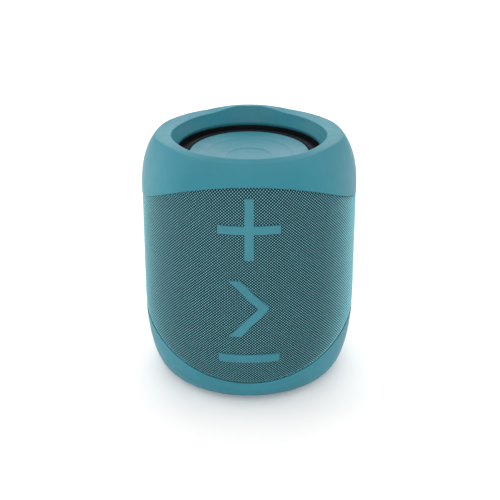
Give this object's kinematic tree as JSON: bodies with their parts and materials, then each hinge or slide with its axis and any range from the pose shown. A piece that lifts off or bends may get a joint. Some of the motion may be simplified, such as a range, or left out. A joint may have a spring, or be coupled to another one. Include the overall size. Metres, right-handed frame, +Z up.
{
  "type": "portable bluetooth speaker",
  "caption": "Round upright portable speaker: knit-wrapped body, soft cap and base, dished radiator in the top, raised plus, play and minus keys, rear port flap.",
  "frame": {"origin": "on the floor under the centre of the body", "axes": "+Z up, front with the three raised keys towards -Y, right-hand driver towards +X"},
  "size_m": [0.096, 0.096, 0.113],
  "materials": {
    "soft_shell": "matt soft-touch teal",
    "button_plastic": "matt soft-touch teal",
    "knit": "two-tone teal knit",
    "frame_plastic": "moulded black",
    "black_rubber": "matt black",
    "disc_plastic": "satin teal",
    "weight_steel": "plain",
    "screw_steel": "black zinc",
    "cone_paper": "matt black",
    "coil_copper": "enamelled wire",
    "board": "green solder mask",
    "component": "moulded black",
    "shield_metal": "tinned",
    "cell_wrap": "shrink wrap",
    "key_plastic": "matt black",
    "clear_plastic": "frosted",
    "lead_insulation": "plain"
  },
  "bodies": {
    "body": {"top_cap": "soft_shell", "base_cap": "soft_shell", "fabric_sleeve": "knit", "grille_frame": "frame_plastic", "enclosure_tub": "frame_plastic", "enclosure_lid": "frame_plastic", "radiator_frame": "frame_plastic", "rear_panel": "frame_plastic", "battery_cup": "frame_plastic", "left_driver_basket": "frame_plastic", "right_driver_basket": "frame_plastic", "foot_ring": "black_rubber", "lid_gasket": "black_rubber", "radiator_surround": "black_rubber", "left_driver_surround": "black_rubber", "right_driver_surround": "black_rubber", "left_driver_gasket": "black_rubber", "right_driver_gasket": "black_rubber", "left_driver_magnet": "weight_steel", "right_driver_magnet": "weight_steel", "lid_screws": "screw_steel", "base_screws": "screw_steel", "board_screws": "screw_steel", "left_driver_screws": "screw_steel", "right_driver_screws": "screw_steel", "left_driver_spider": "cone_paper", "right_driver_spider": "cone_paper", "main_board": "board", "button_board": "board", "rear_board": "board", "board_chips": "component", "board_connectors": "component", "button_switches": "component", "rear_switches": "component", "aux_socket": "component", "radio_shield": "shield_metal", "usb_socket": "shield_metal", "battery_cell": "cell_wrap", "light_pipe": "clear_plastic", "status_led": "clear_plastic", "left_driver_lead": "lead_insulation", "right_driver_lead": "lead_insulation", "battery_lead": "lead_insulation", "front_lead": "lead_insulation", "rear_lead": "lead_insulation"},
    "radiator": {"radiator_disc": "disc_plastic", "radiator_weight": "weight_steel"},
    "left_diaphragm": {"left_driver_cone": "cone_paper", "left_dust_cap": "cone_paper", "left_voice_coil": "coil_copper"},
    "right_diaphragm": {"right_driver_cone": "cone_paper", "right_dust_cap": "cone_paper", "right_voice_coil": "coil_copper"},
    "plus_key": {"plus_button": "button_plastic"},
    "play_key": {"play_button": "button_plastic"},
    "minus_key": {"minus_button": "button_plastic"},
    "power_key": {"power_button": "key_plastic"},
    "pairing_key": {"pairing_button": "key_plastic"},
    "flap": {"port_flap": "black_rubber"}
  },
  "joints": [
    {"name": "radiator_stroke", "type": "slide", "parent": "body", "child": "radiator", "axis": [0, 0, 1], "range_m": [-0.002, 0.002], "stiffness_N_per_m": 600, "deforming": ["radiator_surround"]},
    {"name": "left_cone_stroke", "type": "slide", "parent": "body", "child": "left_diaphragm", "axis": [-1, 0, 0], "range_m": [-0.0015, 0.0015], "stiffness_N_per_m": 900, "deforming": ["left_driver_surround", "left_driver_spider"]},
    {"name": "right_cone_stroke", "type": "slide", "parent": "body", "child": "right_diaphragm", "axis": [1, 0, 0], "range_m": [-0.0015, 0.0015], "stiffness_N_per_m": 900, "deforming": ["right_driver_surround", "right_driver_spider"]},
    {"name": "plus_press", "type": "slide", "parent": "body", "child": "plus_key", "axis": [0, 1, 0], "range_m": [0, 0.0005], "stiffness_N_per_m": 1500},
    {"name": "play_press", "type": "slide", "parent": "body", "child": "play_key", "axis": [0, 1, 0], "range_m": [0, 0.0005], "stiffness_N_per_m": 1500},
    {"name": "minus_press", "type": "slide", "parent": "body", "child": "minus_key", "axis": [0, 1, 0], "range_m": [0, 0.0005], "stiffness_N_per_m": 1500},
    {"name": "power_press", "type": "slide", "parent": "body", "child": "power_key", "axis": [0, -1, 0], "range_m": [0, 0.0005], "stiffness_N_per_m": 1500},
    {"name": "pairing_press", "type": "slide", "parent": "body", "child": "pairing_key", "axis": [0, -1, 0], "range_m": [0, 0.0005], "stiffness_N_per_m": 1500},
    {"name": "flap_hinge", "type": "hinge", "parent": "body", "child": "flap", "pos_m": [0, 0.0443, 0.0215], "axis": [-1, 0, 0], "range_deg": [0, 100]}
  ]
}
